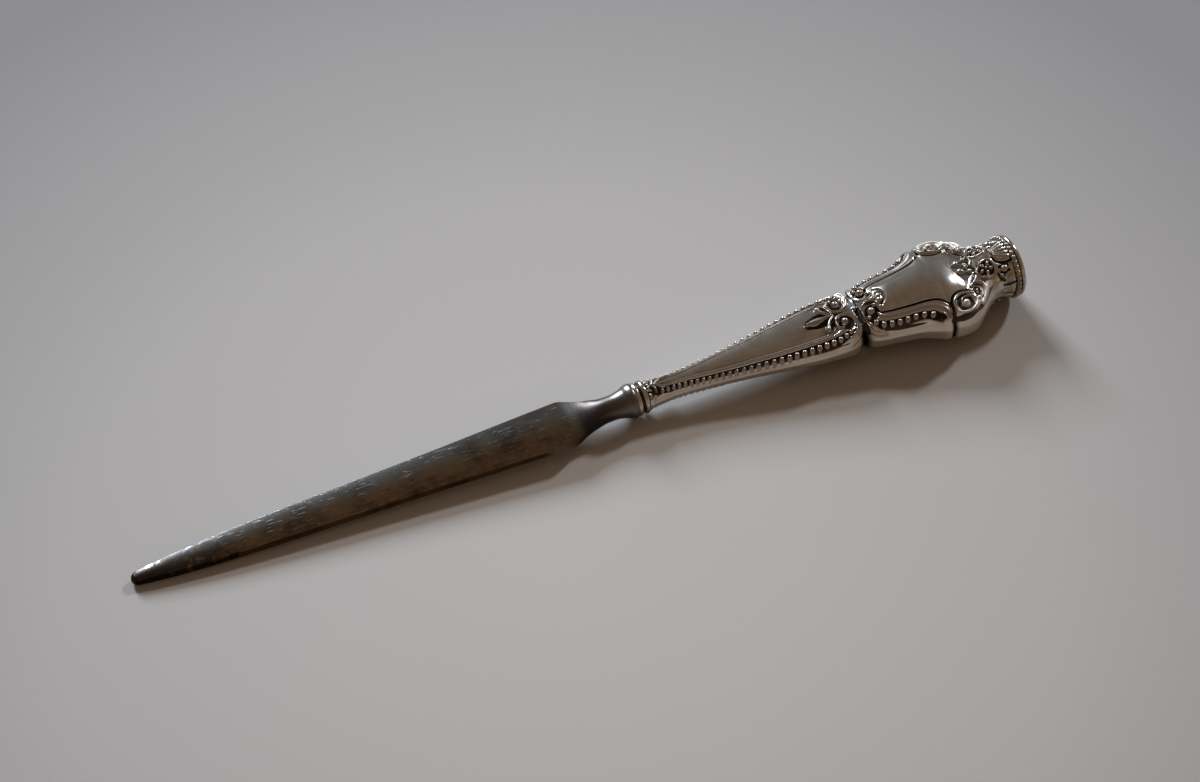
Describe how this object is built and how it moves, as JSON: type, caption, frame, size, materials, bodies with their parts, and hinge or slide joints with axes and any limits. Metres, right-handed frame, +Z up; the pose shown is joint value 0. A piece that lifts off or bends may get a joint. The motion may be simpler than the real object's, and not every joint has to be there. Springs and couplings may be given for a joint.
{
  "type": "letter opener",
  "caption": "Antique hand letter opener with a tapered steel blade and a hollow silver handle with bead and scroll relief.",
  "frame": {"origin": "middle of the bounding box's footprint, on the table that the tool lies on", "axes": "+X from the blade's tip to the end cap, +Y across the tool, +Z up from the table; the axis rises from tip to rim because the tool rests on both"},
  "size_m": [0.19, 0.0222, 0.0136],
  "materials": {
    "blade_steel": "aged steel with a dark patina and fine scratches",
    "silver": "polished old silver, tarnished brown in the hollows",
    "pitch": "dark resin filling, not seen"
  },
  "bodies": {
    "root": {"blade": "blade_steel", "mouth_ring": "silver", "handle_shell_top": "silver", "handle_shell_bottom": "silver", "end_cap": "silver", "pitch_core": "pitch"}
  },
  "joints": []
}
